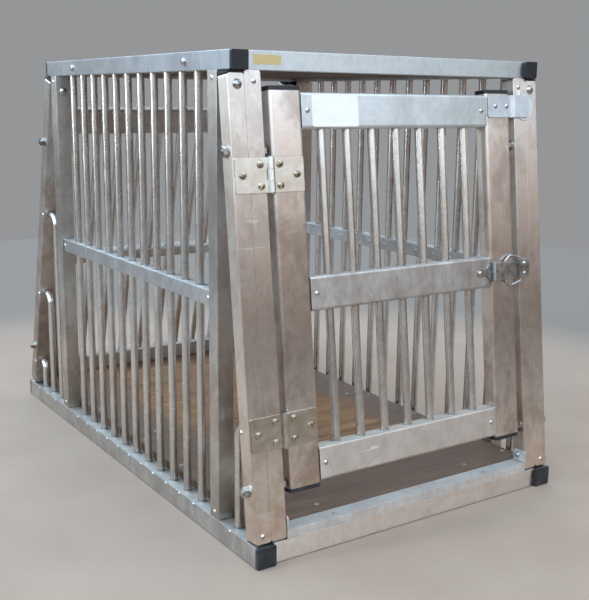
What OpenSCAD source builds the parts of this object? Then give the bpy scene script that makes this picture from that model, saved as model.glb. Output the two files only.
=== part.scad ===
// Aluminium transport cage for a dog: barred side panels, a barred rear panel, a sloping
// hinged front door with a draw latch, a plywood floor and a plywood roof.
// Origin: middle of the footprint on the ground. +X right, +Y to the rear, +Z up. Millimetres.

/* [Overall] */
// Length of the base frame, front to rear
base_len = 915; // [760:5:1100]
// Outside width of the base frame
base_width = 564; // [470:2:680]
// Height to the top of the roof frame
height = 680; // [560:5:820]
// How far the roof frame starts behind the front of the base
front_setback = 75; // [40:1:95]
// How far the roof frame ends ahead of the rear of the base
rear_setback = 165; // [80:1:185]

/* [Tubes] */
// Side of the square base tube
base_tube = 30; // [27:1:36]
// Side of the square roof tube
roof_tube = 25; // [20:1:30]
// Side of the square post tube
post = 25; // [22:1:27]
// Wall of every square tube
wall = 1.5; // [1:0.1:2]
// Side of the square tube halfway up each side and the rear
mid_rail = 22; // [18:1:24]
// Height of the middle rails of the sides, to their centre
mid_rail_z = 348; // [250:1:420]

/* [Bars] */
// Outside diameter of the round bars
bar_d = 12; // [8:0.5:13]
// Wall of the round bars
bar_wall = 1.5; // [1:0.1:2]
// Spacing of the side bars
side_pitch = 46.8; // [40:0.1:60]
// Spacing of the door and rear bars
panel_pitch = 44; // [38:0.5:60]
// Smallest distance from the centre of a bar to the post beside it
bar_margin = 36; // [25:1:50]
// Front end of the base to the centre of the front upright
front_inset = 114.5; // [108:0.5:140]
// Rear end of the base to the centre of the rear upright
rear_inset = 205.5; // [200:0.5:230]

/* [Door] */
// Gap between the door and the post on each side
door_gap = 11; // [10:0.5:16]
// Width of the door stiles
stile_w = 50; // [50:1:60]
// Height of the door rails
rail_h = 48; // [36:1:56]
// Depth of the door tubes, front to back
door_depth = 25; // [20:1:28]
// Clear height below the door, up the slope from the base frame
door_low = 68; // [55:1:90]
// Clear height above the door, down the slope from the roof frame
door_high = 25; // [15:1:60]

/* [Boards] */
// Thickness of the floor and roof boards
board_t = 12; // [9:1:14]
// Place of the floor seam, ahead of the middle of the base
seam_ahead = 15; // [0:1:60]

/* [Hinges and latch] */
// Height of a hinge
hinge_h = 46; // [40:1:60]
// Upper hinge, below the top of the door
hinge_drop = 110; // [60:1:150]
// Lower hinge, above the bottom of the door
hinge_rise = 84; // [60:1:150]
// Radius of the hinge pins
hinge_pin_r = 2.5; // [2:0.1:3]
// Diameter of the latch wire
wire_d = 3; // [2.4:0.1:3.2]

/* [Hidden] */
$fn = 48;
eps = 1;                 // overshoot of a cut
run_gap = 0.05;          // radial clearance of a pin that turns
slip_gap = 0.1;          // radial clearance of a bar or screw in its hole
part_gap = 0.3;          // clearance between pieces that move past each other

// Frame
half_w = base_width / 2;
half_len = base_len / 2;
inner_x = half_w - base_tube;
roof_z = height - roof_tube;
rise = roof_z - base_tube;
post_out = half_w - 1;
seam_x = post_out - post;
post_in = seam_x - post;
post_x = post_out - post / 2;
front_lean = atan(front_setback / rise);
rear_lean = atan(rear_setback / rise);
front_slope = rise / cos(front_lean);
rear_slope = rise / cos(rear_lean);
roof_y0 = -half_len + front_setback;
roof_y1 = half_len - rear_setback;
roof_x = inner_x + roof_tube / 2;
roof_mid_z = height - roof_tube / 2;
upright_y = [-half_len + front_inset, half_len - rear_inset];
panel_y = (upright_y[0] + upright_y[1]) / 2;
side_span = upright_y[1] - upright_y[0] - post;
cap_t = 6;               // black end caps of the base, roof and door tubes
spigot = 15;             // reach of a cap into its tube
cap_fit = 0.2;           // clearance of a spigot in its tube
plug_t = 4;              // black plug in the head of each outer post
plug_reach = 8;
corner_r = 4;            // rounded corners of door tubes and post ends
edge_r = 0.8;            // rounded edges of square tube

// Bars
bar_r = bar_d / 2;
bar_x = inner_x + base_tube / 2;
bar_sink = 13;           // reach of a bar into a tube
side_count = floor((side_span - 2 * bar_margin) / side_pitch) + 1;
side_bar_y = [for (i = [0 : side_count - 1]) panel_y + (i - (side_count - 1) / 2) * side_pitch];
rear_count = floor((2 * post_in - 2 * bar_margin) / panel_pitch) + 1;
rear_bar_x = [for (i = [0 : rear_count - 1]) (i - (rear_count - 1) / 2) * panel_pitch];
bar_rivet_z = base_tube - 3.5;

// Short bars that bend into a sloping post
bend_r = 18;
bend_sink = 8;           // reach of a bent bar into the post
front_bend_z = base_tube + rise * 0.2416;
front_bend_gap = 26;
rear_bend_z = [base_tube + rise * 0.5824, base_tube + rise * 0.3216, base_tube + rise * 0.08];
rear_bend_gap = [27.5, 22.6, 14.4];

// Rear panel, up the slope of the rear posts
rear_foot = post * tan(rear_lean);
rear_mid_s = rear_slope / 2 - 40;
rear_top_s = rear_slope - 79.5;

// Door, in the plane of the front posts: X across, Y into the cage, Z up the slope
door_x = post_in - door_gap;
door_s0 = door_low;
door_s1 = front_slope - door_high;
rail_x = door_x - stile_w;
rail_inset = 2;          // door rails stop short of the ends of the stiles
door_mid_s = (door_s0 + door_s1) / 2 - 5;
door_rail_s = [door_s0 + rail_inset + rail_h / 2, door_mid_s, door_s1 - rail_inset - rail_h / 2];
door_count = floor((2 * rail_x - 2 * bar_margin) / panel_pitch) + 1;
door_bar_x = [for (i = [0 : door_count - 1]) (i - (door_count - 1) / 2) * panel_pitch];
door_rivet_x = rail_x - 10;

// Hinges
leaf_t = 2;
knuckle_r = 5;
knuckle_gap = 0.4;
knuckle_h = (hinge_h - 2 * knuckle_gap) / 3;
pin_x = -post_in + door_gap / 2;
pin_y = 1 - knuckle_r;
pin_head = 1;
hinge_s = [door_s0 + hinge_rise, door_s1 - hinge_drop];
hinge_w = door_gap / 2 + stile_w - 2.5;
screw_r = 2;
screw_head_r = 5;
screw_rise = 2.3;        // how far the head of a leaf screw stands proud
screw_edge = 1.4;        // height of its straight side
leaf_screws = [[15, hinge_h / 2 - 9], [15, 9 - hinge_h / 2], [42, 0]];

// Latch, beside the middle rail of the door
latch_s = door_mid_s;
latch_x = door_x - 47.5; // pin that the lever turns on
latch_y = -5.3;
latch_pin_r = 1.5;
barrel_r = 3.5;
base_h = 26;
base_t = 1.5;
base_end = 20.5;
base_flare = 6;          // full height of the base plate starts here
base_neck = 13;          // and narrows to a tab here
base_tab_r = 5.5;        // rounded tab around its rivet
base_rivet = 26.5;
lug_h = 2.4;
lever_len = 45;
lever_h = 27;
lever_t = 1.5;
flange_x = [12.5, 39.5];
flange_low = -2.5;
bail_x = 24.5;           // pivot of the wire bail, from the lever pin
bail_y = -5;
wire_r = wire_d / 2;
bend_swell = 0.08;       // how much fuller the wire is at a bend

// Catch on the right-hand door post
lip_x = post_in - 6;
lip_t = 2;
lip_h = 8;
catch_w = 27;
catch_h = 30;
catch_screw = [17, 8];
bail_end = lip_x + lip_t + part_gap + wire_r - latch_x - bail_x;
bail_path = [[0, 10.5], [0, 15.8], [8, 22], [12, 23.2], [16.5, 22.3], [bail_end, 18.2]];

// Stop plate of the door and its buffer
pad_t = 1.5;
pad_r = 20.5;
stop_t = 2;
stop_h = 34;
stop_s = door_s1 - 19;
stop_x = [door_x - 47, door_x + 39];
stop_lift = pad_t + part_gap;
stop_rivet = [door_x - 31, door_x - 7];

// Floor, sill, roof and fixings
sill_w = post_in - part_gap;
sill_d = 24.5;
sill_t = 1.5;
sill_z = base_tube + board_t;
tab_h = 21;
tab_y = -half_len + 17;
tab_z = sill_z + 11;
sill_screw_y = -half_len + 8.5;
seam_y = -seam_ahead;
seam_gap = 0.5;
floor_x = inner_x + 3;
notch_y = -half_len + post / cos(front_lean) + board_t * tan(front_lean) + 1;
bearer_y = [-half_len + 57.5, seam_y - base_len / 6, seam_y, seam_y + base_len / 5,
            half_len - 87.5];
bearer_w = [post, post, 2 * post, post, post];
edge_x = inner_x - 9;
middle_x = inner_x - 106;
floor_screw_at = [
  [middle_x, bearer_y[0] - 6], [edge_x, bearer_y[0] + 6], [edge_x, bearer_y[1]],
  [edge_x, seam_y - 14], [edge_x - 33, seam_y + 14], [edge_x, bearer_y[3]],
  [edge_x, bearer_y[4]]];
floor_screw_len = board_t + 8;
roof_gap = 0.5;
roof_screw_y = [for (s = [-1, 1]) panel_y + s * (side_count / 2 - 1) * side_pitch];
roof_screw_len = roof_tube + 14;
rivet_r = 3.9;           // head of a rivet
small_rivet_r = 3;       // head of a rivet beside a bar
rivet_hole = 1.6;
rivet_len = 5;
foot_rivet = [post_out - 12, 13.3];  // across, and up the slope of an outer post
head_rivet = [seam_x - 14, 14.2];    // across, and down from the head of an inner post
post_screw = 18;         // pan screw, down from the head of a front outer post
upright_screw = 27;      // pan screw, down from the head of a rear upright
pan_r = 3;
bolt_r = 4;
bolt_head = 5.3;
nut_h = 6.5;
nut_af = 13;
washer_r = 8;
washer_t = 1.6;
front_bolt_s = [(105 - base_tube) / cos(front_lean), front_slope - 103];
rear_bolt_s = [(118 - base_tube) / cos(rear_lean), rear_slope - 121];

// ---- Places ----

// Plane of the front posts: Y into the cage, Z up the slope
module front_plane() {
  translate([0, -half_len, base_tube]) rotate([-front_lean, 0, 0]) children();
}

// Plane of the rear posts, turned so that Y again points into the cage
module rear_plane() {
  mirror([0, 1, 0]) translate([0, -half_len, base_tube]) rotate([-rear_lean, 0, 0]) children();
}

module right_hand() {
  mirror([1, 0, 0]) children();
}

module both_sides() {
  children();
  right_hand() children();
}

// Z points forwards
module facing_front(x, y, z) {
  translate([x, y, z]) rotate([90, 0, 0]) children();
}

// Z points to the left
module facing_left(x, y, z) {
  translate([x, y, z]) rotate([0, -90, 0]) children();
}

// Z points to the right
module facing_right(x, y, z) {
  translate([x, y, z]) rotate([0, 90, 0]) children();
}

// ---- Shapes ----

// Hole of radius r from Z = 0 down to a depth
module hole(r, depth) {
  translate([0, 0, -depth]) cylinder(h = depth + eps, r = r);
}

module rivet_cut() {
  hole(rivet_hole + slip_gap, wall + eps);
}

module screw_cut(r) {
  hole(r + slip_gap, wall + eps);
}

// Rectangle with rounded corners, its lower left corner at the origin
module rounded(w, h, r) {
  translate([r, 0]) square([w - 2 * r, h]);
  translate([0, r]) square([w, h - 2 * r]);
  for (x = [r, w - r], y = [r, h - r])
    translate([x, y]) circle(r);
}

// Upright flat plate of thickness t, its front at y
module plate(w, h, r, y, t) {
  translate([0, y + t, 0]) rotate([90, 0, 0]) linear_extrude(t) rounded(w, h, r);
}

// Section of square tube
module tube_section(w, h) {
  difference() {
    rounded(w, h, edge_r);
    translate([wall, wall]) square([w - 2 * wall, h - 2 * wall]);
  }
}

module tube_x(y, z, d, h) {
  translate([-inner_x, y, z]) rotate([90, 0, 90]) linear_extrude(2 * inner_x)
    tube_section(d, h);
}

module tube_y(x, y, z, w, len) {
  translate([x, y, z + w]) rotate([-90, 0, 0]) linear_extrude(len) tube_section(w, w);
}

// Round-cornered tube section
module soft_section(w, d) {
  difference() {
    rounded(w, d, corner_r);
    translate([wall, wall]) rounded(w - 2 * wall, d - 2 * wall, corner_r - wall);
  }
}

// Round-cornered tube along X from -half to half, from s upwards
module soft_rail(half, h, d, s) {
  translate([-half, 0, s]) rotate([90, 0, 90]) linear_extrude(2 * half) soft_section(d, h);
}

// Round tube along Z
module bar(len) {
  difference() {
    cylinder(h = len, r = bar_r);
    translate([0, 0, -eps]) cylinder(h = len + 2 * eps, r = bar_r - bar_wall);
  }
}

// Hole for a bar, along Z
module bar_cut(z0, z1) {
  translate([0, 0, z0]) cylinder(h = z1 - z0, r = bar_r + slip_gap);
}

// Upright bar that bends towards +Y, its level part centred on z and ending past reach
module bent_bar(z, reach) {
  r = min(bend_r, reach - 1);
  foot = base_tube - bar_sink;
  translate([0, 0, foot]) bar(z - r - foot);
  translate([0, r, z - r]) rotate([90, 0, -90])
    rotate_extrude(angle = 90) translate([r, 0]) difference() {
      circle(bar_r);
      circle(bar_r - bar_wall);
    }
  translate([0, r, z]) rotate([-90, 0, 0]) bar(reach - r + bend_sink);
}

// Blind rivet: dished dome on the Z = 0 plane, shank below
module rivet(head_r = rivet_r) {
  dome = head_r * 0.45;
  ball = (head_r * head_r + dome * dome) / (2 * dome);
  difference() {
    union() {
      intersection() {
        translate([0, 0, dome - ball]) sphere(ball);
        cylinder(h = dome + eps, r = head_r);
      }
      translate([0, 0, -rivet_len]) cylinder(h = rivet_len + 0.3, r = rivet_hole);
    }
    translate([0, 0, dome - 0.8]) cylinder(h = eps, r = 0.9);
  }
}

// Pan head screw with a cross recess: head on the Z = 0 plane, shank below
module pan_screw(head_r, head_h, shank, len) {
  ball = (head_r * head_r + head_h * head_h) / (2 * head_h);
  slot = [head_r, head_r / 4, head_h];
  difference() {
    union() {
      intersection() {
        translate([0, 0, head_h - ball]) sphere(ball);
        cylinder(h = head_h + eps, r = head_r - 0.3);
      }
      translate([0, 0, -len]) cylinder(h = len + 0.3, r = shank);
    }
    for (a = [20, 110])
      rotate([0, 0, a]) translate([-slot[0] / 2, -slot[1] / 2, head_h / 2]) cube(slot);
  }
}

// Slotted countersunk screw in a leaf whose face is the Z = 0 plane
module slot_screw(angle) {
  dome = screw_rise - screw_edge;
  ball = (screw_head_r * screw_head_r + dome * dome) / (2 * dome);
  difference() {
    union() {
      translate([0, 0, -leaf_t]) cylinder(h = leaf_t + 0.2, r1 = screw_r, r2 = screw_head_r);
      intersection() {
        translate([0, 0, screw_rise - ball]) sphere(ball);
        cylinder(h = screw_rise + eps, r = screw_head_r - 0.2);
      }
      translate([0, 0, -8]) cylinder(h = 8, r = screw_r);
    }
    rotate([0, 0, angle]) translate([-screw_head_r - eps, -0.7, screw_edge - 0.9])
      cube([2 * (screw_head_r + eps), 1.4, 3]);
  }
}

module leaf_screw_cut() {
  translate([0, 0, -leaf_t]) cylinder(h = leaf_t, r1 = screw_r + slip_gap,
                                      r2 = screw_head_r + slip_gap);
  translate([0, 0, -leaf_t - eps]) cylinder(h = 2 * eps, r = screw_r + slip_gap);
}

// Hexagon head or nut on the Z axis
module hexagon(h) {
  cylinder(h = h, r = nut_af / 2 / cos(30), $fn = 6);
}

// ---- Base frame ----

// Distance from a bent bar to the face of the post that it enters
front_face_y = -half_len + front_setback * (front_bend_z - base_tube) / rise
  + post / cos(front_lean);
front_bar_y = front_face_y + front_bend_gap;
rear_face_y = [for (z = rear_bend_z)
  half_len - rear_setback * (z - base_tube) / rise - post / cos(rear_lean)];
rear_bar_y = [for (i = [0 : 2]) rear_face_y[i] - rear_bend_gap[i]];
base_bar_y = concat(side_bar_y, [front_bar_y], rear_bar_y);

module base_side_rail() {
  color("silver") difference() {
    tube_y(-half_w, -half_len, 0, base_tube, base_len);
    for (y = base_bar_y) {
      translate([-bar_x, y, 0]) bar_cut(base_tube - wall - eps, base_tube + eps);
      facing_left(-half_w, y, bar_rivet_z) rivet_cut();
    }
  }
}

module base_rail_left() { base_side_rail(); }
module base_rail_right() { right_hand() base_side_rail(); }

module base_rail_front() {
  color("silver") difference() {
    tube_x(-half_len, 0, base_tube, base_tube);
    both_sides() translate([-middle_x, sill_screw_y, base_tube]) screw_cut(screw_r);
  }
}

module base_rail_rear() {
  color("silver") tube_x(half_len - base_tube, 0, base_tube, base_tube);
}

// Hidden tubes under the floor, the widest of them under its seam
module floor_bearers() {
  color("silver") difference() {
    for (i = [0 : 4])
      tube_x(bearer_y[i] - bearer_w[i] / 2, base_tube - post, bearer_w[i], post);
    for (p = floor_screw_at)
      both_sides() translate([-p[0], p[1], base_tube]) screw_cut(screw_r);
  }
}

// Cap on the end of a square tube, facing forwards, with its spigot in the tube
module end_cap(side) {
  core = side - 2 * (wall + cap_fit);
  translate([-side / 2, 0, -side / 2]) plate(side, side, 2, -cap_t, cap_t);
  translate([-core / 2, -eps, -core / 2]) cube([core, spigot + eps, core]);
}

module base_end_caps() {
  color("black") both_sides() {
    translate([-bar_x, -half_len, base_tube / 2]) end_cap(base_tube);
    translate([-bar_x, half_len, base_tube / 2]) mirror([0, 1, 0]) end_cap(base_tube);
  }
}

// ---- Roof frame ----

module top_side_rail() {
  color("silver") difference() {
    tube_y(-inner_x - roof_tube, roof_y0, roof_z, roof_tube, roof_y1 - roof_y0);
    for (y = side_bar_y)
      translate([-bar_x, y, 0]) bar_cut(roof_z - eps, roof_z + wall + eps);
    for (y = roof_screw_y)
      facing_left(-inner_x - roof_tube, y, roof_mid_z)
        hole(screw_r + slip_gap, roof_tube + eps);
  }
}

module top_rail_left() { top_side_rail(); }
module top_rail_right() { right_hand() top_side_rail(); }
module top_rail_front() { color("silver") tube_x(roof_y0, roof_z, roof_tube, roof_tube); }
module top_rail_rear() {
  color("silver") tube_x(roof_y1 - roof_tube, roof_z, roof_tube, roof_tube);
}

module top_end_caps() {
  color("black") both_sides() {
    translate([-roof_x, roof_y0, roof_mid_z]) end_cap(roof_tube);
    translate([-roof_x, roof_y1, roof_mid_z]) mirror([0, 1, 0]) end_cap(roof_tube);
  }
}

// ---- Uprights and middle rails of the sides ----

upright_rivet_z = [base_tube + 9, roof_z - 10];
mid_rivet_y = [upright_y[0] + post / 2 + 8, upright_y[1] - post / 2 - 8];

module upright(y) {
  color("silver") difference() {
    translate([-post_out, y - post / 2, base_tube]) linear_extrude(rise)
      tube_section(post, post);
    for (z = upright_rivet_z)
      facing_left(-post_out, y, z) rivet_cut();
    if (y > 0)
      facing_front(-bar_x, y - post / 2, roof_z - upright_screw) screw_cut(pan_r);
  }
}

module upright_front_left() { upright(upright_y[0]); }
module upright_front_right() { right_hand() upright(upright_y[0]); }
module upright_rear_left() { upright(upright_y[1]); }
module upright_rear_right() { right_hand() upright(upright_y[1]); }

module side_mid_rail() {
  low = mid_rail_z - mid_rail / 2;
  color("silver") difference() {
    tube_y(-bar_x - mid_rail / 2, upright_y[0] + post / 2, low, mid_rail, side_span);
    for (y = side_bar_y) {
      translate([-bar_x, y, 0]) bar_cut(low - eps, low + mid_rail + eps);
      facing_right(-bar_x + mid_rail / 2, y, mid_rail_z) rivet_cut();
    }
    for (y = mid_rivet_y)
      facing_left(-bar_x - mid_rail / 2, y, mid_rail_z) rivet_cut();
  }
}

module mid_rail_left() { side_mid_rail(); }
module mid_rail_right() { right_hand() side_mid_rail(); }

// ---- Sloping posts ----

// Post with its outer face at x, cut square and standing on its inner edge
module slope_post(x, lean, top) {
  foot = post * tan(lean);
  translate([x, 0, foot]) intersection() {
    plate(post, top - foot, corner_r, 0, post);
    linear_extrude(top - foot) tube_section(post, post);
  }
}

// Holes for the bolts that join a pair of posts
module bolt_cuts(places) {
  for (s = places)
    facing_left(-post_out, post / 2, s) hole(bolt_r + slip_gap, 2 * post + eps);
}

module side_post_front(hinged) {
  color("silver") difference() {
    front_plane() difference() {
      slope_post(-post_out, front_lean, front_slope - plug_t);
      bolt_cuts(front_bolt_s);
      facing_front(-bar_x, 0, front_slope - post_screw) screw_cut(pan_r);
      facing_front(-foot_rivet[0], 0, foot_rivet[1]) rivet_cut();
      if (hinged)
        frame_leaf_holes();
    }
    translate([-bar_x, front_bar_y, front_bend_z]) rotate([90, 0, 0])
      bar_cut(0, front_bend_gap + bend_sink);
    facing_left(-post_out, front_face_y - 4, front_bend_z) rivet_cut();
  }
}

module side_post_rear() {
  color("silver") difference() {
    rear_plane() difference() {
      slope_post(-post_out, rear_lean, rear_slope - plug_t);
      bolt_cuts(rear_bolt_s);
      facing_front(-foot_rivet[0], 0, foot_rivet[1]) rivet_cut();
    }
    for (i = [0 : 2]) {
      translate([-bar_x, rear_bar_y[i], rear_bend_z[i]]) rotate([-90, 0, 0])
        bar_cut(0, rear_bend_gap[i] + bend_sink);
      facing_left(-post_out, rear_face_y[i] + 4, rear_bend_z[i]) rivet_cut();
    }
  }
}

module side_post_front_left() { side_post_front(true); }
module side_post_front_right() { right_hand() side_post_front(false); }
module side_post_rear_left() { side_post_rear(); }
module side_post_rear_right() { right_hand() side_post_rear(); }

module post_plug(top) {
  core = post - 2 * (wall + cap_fit);
  inset = (post - core) / 2;
  translate([-post_out, 0, top - plug_t]) cube([post, post, plug_t]);
  translate([-post_out + inset, inset, top - plug_t - plug_reach])
    cube([core, core, plug_reach + eps]);
}

module side_post_plugs() {
  color("black") both_sides() {
    front_plane() post_plug(front_slope);
    rear_plane() post_plug(rear_slope);
  }
}

module door_post(hinged) {
  color("silver") difference() {
    front_plane() difference() {
      slope_post(-seam_x, front_lean, front_slope);
      bolt_cuts(front_bolt_s);
      facing_front(-head_rivet[0], 0, front_slope - head_rivet[1]) rivet_cut();
      if (hinged)
        frame_leaf_holes();
      else
        for (s = [-1, 1])
          facing_front(-lip_x - catch_screw[0], 0, latch_s + s * catch_screw[1])
            screw_cut(screw_r);
    }
    facing_right(-post_in, tab_y, tab_z) screw_cut(screw_r);
  }
}

module door_post_left() { door_post(true); }
module door_post_right() { right_hand() door_post(false); }

module rear_post() {
  color("silver") rear_plane() difference() {
    slope_post(-seam_x, rear_lean, rear_slope);
    bolt_cuts(rear_bolt_s);
    facing_front(-head_rivet[0], 0, rear_slope - head_rivet[1]) rivet_cut();
  }
}

module rear_post_left() { rear_post(); }
module rear_post_right() { right_hand() rear_post(); }

// ---- Bars ----

module side_bars() {
  color("gainsboro") {
    for (y = side_bar_y)
      translate([-bar_x, y, base_tube - bar_sink]) bar(rise + 2 * bar_sink);
    translate([-bar_x, front_bar_y, 0]) mirror([0, 1, 0])
      bent_bar(front_bend_z, front_bend_gap);
    for (i = [0 : 2])
      translate([-bar_x, rear_bar_y[i], 0]) bent_bar(rear_bend_z[i], rear_bend_gap[i]);
  }
}

module side_bars_left() { side_bars(); }
module side_bars_right() { right_hand() side_bars(); }

// ---- Rear panel ----

rear_low = rear_foot + rail_h;   // head of the bottom rail
rear_high = rear_top_s - rail_h / 2;

module rear_rail(s, h) {
  color("silver") rear_plane() difference() {
    soft_rail(post_in, h, post, s);
    for (x = rear_bar_x)
      translate([x, post / 2, 0]) bar_cut(max(s - eps, rear_low - wall - eps),
                                          min(s + h + eps, rear_high + wall + eps));
  }
}

module rear_rail_top() { rear_rail(rear_high, rail_h); }
module rear_rail_middle() { rear_rail(rear_mid_s - mid_rail / 2, mid_rail); }
module rear_rail_bottom() { rear_rail(rear_foot, rail_h); }

module rear_bars() {
  color("gainsboro") rear_plane()
    for (x = rear_bar_x)
      translate([x, post / 2, rear_low - bar_sink]) bar(rear_high - rear_low + 2 * bar_sink);
}

// ---- Floor, sill and roof ----

module floor_cuts() {
  for (p = floor_screw_at)
    both_sides() translate([-p[0], p[1], sill_z]) hole(screw_r + slip_gap, board_t + eps);
  both_sides() translate([-middle_x, sill_screw_y, sill_z])
    hole(screw_r + slip_gap, board_t + eps);
}

module floor_board_front() {
  front = -half_len + sill_t;
  color("saddlebrown") difference() {
    union() {
      translate([-sill_w, front, base_tube])
        cube([2 * sill_w, seam_y - seam_gap - front, board_t]);
      translate([-floor_x, notch_y, base_tube])
        cube([2 * floor_x, seam_y - seam_gap - notch_y, board_t]);
    }
    floor_cuts();
  }
}

module floor_board_rear() {
  front = seam_y + seam_gap;
  color("saddlebrown") difference() {
    translate([-floor_x, front, base_tube])
      cube([2 * floor_x, half_len - base_tube - front, board_t]);
    floor_cuts();
  }
}

module roof_board() {
  color("saddlebrown") difference() {
    translate([-inner_x + roof_gap, roof_y0 + roof_tube + roof_gap, roof_mid_z - board_t / 2])
      cube([2 * (inner_x - roof_gap), roof_y1 - roof_y0 - 2 * (roof_tube + roof_gap), board_t]);
    for (y = roof_screw_y)
      both_sides() facing_left(-inner_x, y, roof_mid_z) hole(screw_r + slip_gap, 16);
  }
}

// Angle strip over the front edge of the floor, with upturned ends
module sill_strip() {
  color("silver") difference() {
    union() {
      translate([-sill_w, -half_len, base_tube]) cube([2 * sill_w, sill_t, board_t + sill_t]);
      translate([-sill_w, -half_len, sill_z]) cube([2 * sill_w, sill_d, sill_t]);
      both_sides() translate([-sill_w, -half_len + sill_d, sill_z]) rotate([90, 0, -90])
        translate([0, 0, -sill_t]) linear_extrude(sill_t) rounded(sill_d, tab_h, corner_r);
    }
    both_sides() {
      translate([-middle_x, sill_screw_y, sill_z + sill_t]) screw_cut(screw_r);
      facing_right(sill_t - sill_w, tab_y, tab_z) screw_cut(screw_r);
    }
  }
}

// ---- Fixings of the frame ----

module floor_screws() {
  color("dimgray") both_sides() {
    for (p = floor_screw_at)
      translate([-p[0], p[1], sill_z]) pan_screw(4, 1.8, screw_r, floor_screw_len);
    translate([-middle_x, sill_screw_y, sill_z + sill_t])
      pan_screw(4, 1.8, screw_r, floor_screw_len);
  }
}

module frame_screws() {
  color("lightgray") {
    both_sides() {
      front_plane() facing_front(-bar_x, 0, front_slope - post_screw)
        pan_screw(7, 4.5, pan_r, 10);
      facing_front(-bar_x, upright_y[1] - post / 2, roof_z - upright_screw)
        pan_screw(7, 4.5, pan_r, 10);
      for (y = roof_screw_y)
        facing_left(-inner_x - roof_tube, y, roof_mid_z)
          pan_screw(6, 4, screw_r, roof_screw_len);
      facing_right(sill_t - sill_w, tab_y, tab_z) pan_screw(5.5, 3, screw_r, 8);
    }
    front_plane()
      for (s = [-1, 1])
        facing_front(lip_x + catch_screw[0], -lip_t, latch_s + s * catch_screw[1])
          pan_screw(3.8, 2.4, screw_r, 8);
  }
}

module frame_rivets() {
  color("gainsboro") both_sides() {
    for (y = base_bar_y)
      facing_left(-half_w, y, bar_rivet_z) rivet(small_rivet_r);
    for (y = upright_y, z = upright_rivet_z)
      facing_left(-post_out, y, z) rivet();
    for (y = side_bar_y)
      facing_right(-bar_x + mid_rail / 2, y, mid_rail_z) rivet(small_rivet_r);
    for (y = mid_rivet_y)
      facing_left(-bar_x - mid_rail / 2, y, mid_rail_z) rivet();
    facing_left(-post_out, front_face_y - 4, front_bend_z) rivet();
    for (i = [0 : 2])
      facing_left(-post_out, rear_face_y[i] + 4, rear_bend_z[i]) rivet();
    front_plane() facing_front(-foot_rivet[0], 0, foot_rivet[1]) rivet();
    rear_plane() facing_front(-foot_rivet[0], 0, foot_rivet[1]) rivet();
    front_plane() facing_front(-head_rivet[0], 0, front_slope - head_rivet[1]) rivet();
    rear_plane() facing_front(-head_rivet[0], 0, rear_slope - head_rivet[1]) rivet();
  }
}

// Places of the bolts: Z points to the left from the outer face of a post pair
module at_bolts() {
  both_sides() {
    front_plane()
      for (s = front_bolt_s)
        facing_left(-post_out, post / 2, s) children();
    rear_plane()
      for (s = rear_bolt_s)
        facing_left(-post_out, post / 2, s) children();
  }
}

module post_bolts() {
  head_z = -2 * post - washer_t;
  tail = washer_t + nut_h + 2;
  color("lightgray") at_bolts() {
    translate([0, 0, head_z - bolt_head]) hexagon(bolt_head);
    translate([0, 0, head_z - eps]) cylinder(h = tail - head_z + eps, r = bolt_r);
  }
}

module ring(r, h) {
  difference() {
    cylinder(h = h, r = r);
    translate([0, 0, -eps]) cylinder(h = h + 2 * eps, r = bolt_r + slip_gap);
  }
}

module post_nuts() {
  color("gray") at_bolts() {
    ring(washer_r, washer_t);
    translate([0, 0, -2 * post - washer_t]) ring(washer_r, washer_t);
    translate([0, 0, washer_t]) difference() {
      hexagon(nut_h);
      hole(bolt_r + slip_gap, eps);
      cylinder(h = nut_h + eps, r = bolt_r + slip_gap);
    }
  }
}

// ---- Hinges ----

// Places of the hinges: X from the pin, Y = 0 on the face of the door, Z = 0 at mid height
module at_hinges() {
  front_plane()
    for (s = hinge_s)
      translate([pin_x, 0, s]) children();
}

// Leaf to the right of the pin, with knuckles at the given heights
module hinge_leaf(knuckles) {
  edge = knuckle_r + 0.5;
  difference() {
    union() {
      translate([edge, 0, -hinge_h / 2]) plate(hinge_w - edge, hinge_h, 2, -leaf_t, leaf_t);
      for (z = knuckles) {
        translate([0, pin_y, z]) cylinder(h = knuckle_h, r = knuckle_r);
        translate([0, -leaf_t, z]) cube([edge + 2, leaf_t, knuckle_h]);
      }
    }
    translate([0, pin_y, -hinge_h]) cylinder(h = 2 * hinge_h, r = hinge_pin_r);
    for (p = leaf_screws)
      facing_front(p[0], -leaf_t, p[1]) leaf_screw_cut();
  }
}

module hinge_door_leaves() {
  color("tan") at_hinges() hinge_leaf([-knuckle_h / 2]);
}

module hinge_frame_leaves() {
  color("tan") at_hinges() right_hand()
    hinge_leaf([-hinge_h / 2, hinge_h / 2 - knuckle_h]);
}

module hinge_door_screws() {
  color("gold") at_hinges()
    for (p = leaf_screws)
      facing_front(p[0], -leaf_t, p[1]) slot_screw(7 * p[0] + 3 * p[1]);
}

module hinge_frame_screws() {
  color("gold") at_hinges() right_hand()
    for (p = leaf_screws)
      facing_front(p[0], -leaf_t, p[1]) slot_screw(5 * p[0] - 4 * p[1]);
}

module frame_leaf_holes() {
  for (s = hinge_s, p = leaf_screws)
    facing_front(pin_x - p[0], 0, s + p[1]) screw_cut(screw_r);
}

// Headed pin along Z for a joint of height h
module headed_pin(r, h) {
  half = h / 2 + part_gap;
  translate([0, 0, -half - eps / 2]) cylinder(h = 2 * half + eps, r = r);
  for (z = [half, -half - pin_head])
    translate([0, 0, z]) cylinder(h = pin_head, r = r + 1);
}

module pivot_pins() {
  color("silver") {
    at_hinges() translate([0, pin_y, 0]) headed_pin(hinge_pin_r - run_gap, hinge_h);
    at_latch() translate([0, latch_y, 0]) headed_pin(latch_pin_r, lever_h);
  }
}

// ---- Door ----

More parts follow.
